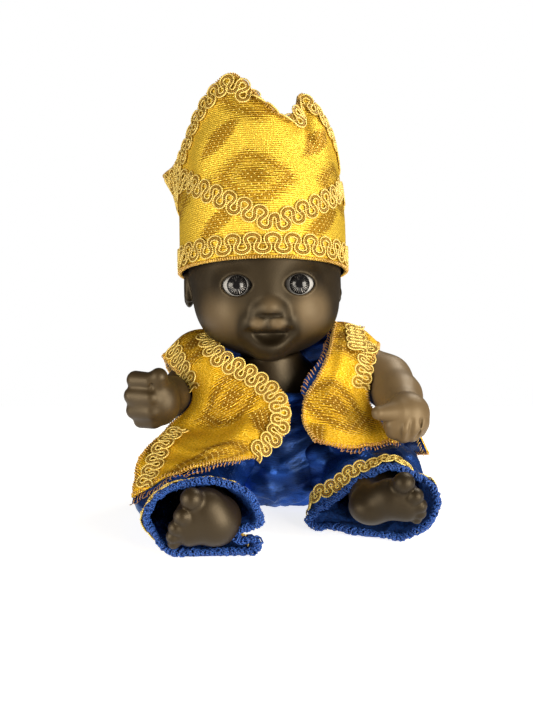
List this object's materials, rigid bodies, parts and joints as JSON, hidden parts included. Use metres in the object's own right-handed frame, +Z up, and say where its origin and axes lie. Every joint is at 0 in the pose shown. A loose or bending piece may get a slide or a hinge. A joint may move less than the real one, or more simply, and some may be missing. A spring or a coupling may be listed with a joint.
{
  "type": "santeria child figurine",
  "caption": "Seated baby doll figurine of dark vinyl in a gold brocade crown hat and waistcoat and blue satin trousers, edged with looped gold braid, for an altar or a shelf.",
  "frame": {"origin": "middle of the flat underside of the trousers' seat, on the surface that the doll sits on", "axes": "+Z up, -Y the way the doll faces, so its own right hand is on the -X side"},
  "size_m": [0.1433, 0.1477, 0.2033],
  "materials": {
    "vinyl": "satin",
    "eye": "polished",
    "brocade": "woven with a metallic sheen",
    "satin": "satin weave",
    "braid": "metallic thread"
  },
  "bodies": {
    "root": {"head": "vinyl", "right_eye": "eye", "left_eye": "eye", "torso": "vinyl", "right_arm": "vinyl", "left_arm": "vinyl", "right_leg": "vinyl", "left_leg": "vinyl", "trousers": "satin", "waistcoat": "brocade", "waistcoat_front_braid": "braid", "waistcoat_right_arm_braid": "braid", "waistcoat_left_arm_braid": "braid", "hat": "brocade", "hat_brim_braid": "braid", "hat_chevron_braid": "braid", "hat_crown_braid": "braid", "right_cuff_braid": "braid", "left_cuff_braid": "braid"}
  },
  "joints": []
}
